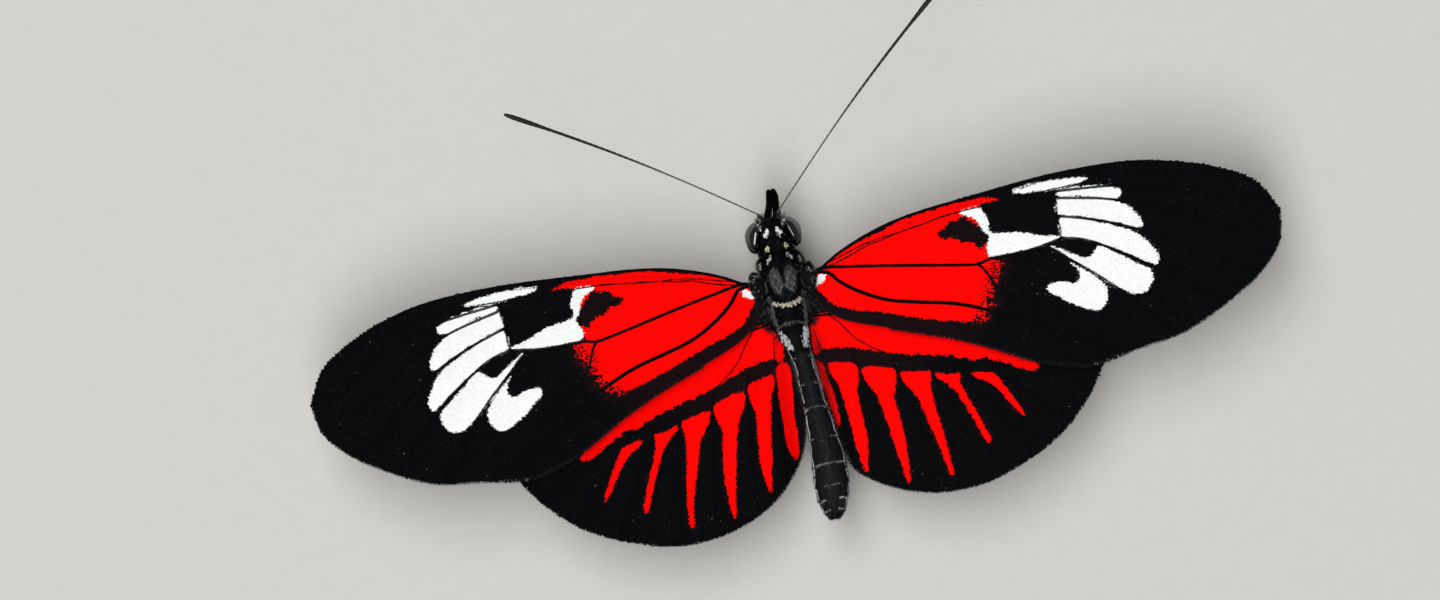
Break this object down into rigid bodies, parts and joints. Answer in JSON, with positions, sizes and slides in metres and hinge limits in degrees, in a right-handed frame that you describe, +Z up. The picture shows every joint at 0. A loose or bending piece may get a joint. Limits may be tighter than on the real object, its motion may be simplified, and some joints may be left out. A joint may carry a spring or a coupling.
{
  "type": "postman butterfly",
  "caption": "Life-size still model of a red, black and white tropical butterfly with its wings spread flat, standing on its own legs.",
  "frame": {"origin": "at floor level under the centre of the box round the whole insect", "axes": "+X to the insect's right wing tip, +Y ahead of its head, +Z up from the floor"},
  "size_m": [0.0782, 0.04, 0.011],
  "materials": {
    "wing_scales": "matt black wing scales with red and white markings",
    "body_hair": "short matt black hair and scales with pale spots",
    "leg_cuticle": "satin black scaled cuticle",
    "antenna_cuticle": "satin black cuticle with fine pale rings",
    "eye": "glossy black compound eye"
  },
  "bodies": {
    "root": {"head": "body_hair", "proboscis": "antenna_cuticle", "eye_left": "eye", "eye_right": "eye", "palp_left": "body_hair", "palp_right": "body_hair", "antenna_left": "antenna_cuticle", "antenna_right": "antenna_cuticle", "prothorax": "body_hair", "thorax": "body_hair", "abdomen": "body_hair", "tegula_left": "body_hair", "tegula_right": "body_hair", "forewing_left": "wing_scales", "forewing_right": "wing_scales", "hindwing_left": "wing_scales", "hindwing_right": "wing_scales", "foreleg_femur_left": "leg_cuticle", "foreleg_femur_right": "leg_cuticle", "foreleg_tibia_left": "leg_cuticle", "foreleg_tibia_right": "leg_cuticle", "midleg_coxa_left": "leg_cuticle", "midleg_coxa_right": "leg_cuticle", "midleg_femur_left": "leg_cuticle", "midleg_femur_right": "leg_cuticle", "midleg_tibia_left": "leg_cuticle", "midleg_tibia_right": "leg_cuticle", "midleg_tarsus_left": "leg_cuticle", "midleg_tarsus_right": "leg_cuticle", "hindleg_coxa_left": "leg_cuticle", "hindleg_coxa_right": "leg_cuticle", "hindleg_femur_left": "leg_cuticle", "hindleg_femur_right": "leg_cuticle", "hindleg_tibia_left": "leg_cuticle", "hindleg_tibia_right": "leg_cuticle", "hindleg_tarsus_left": "leg_cuticle", "hindleg_tarsus_right": "leg_cuticle"}
  },
  "joints": []
}
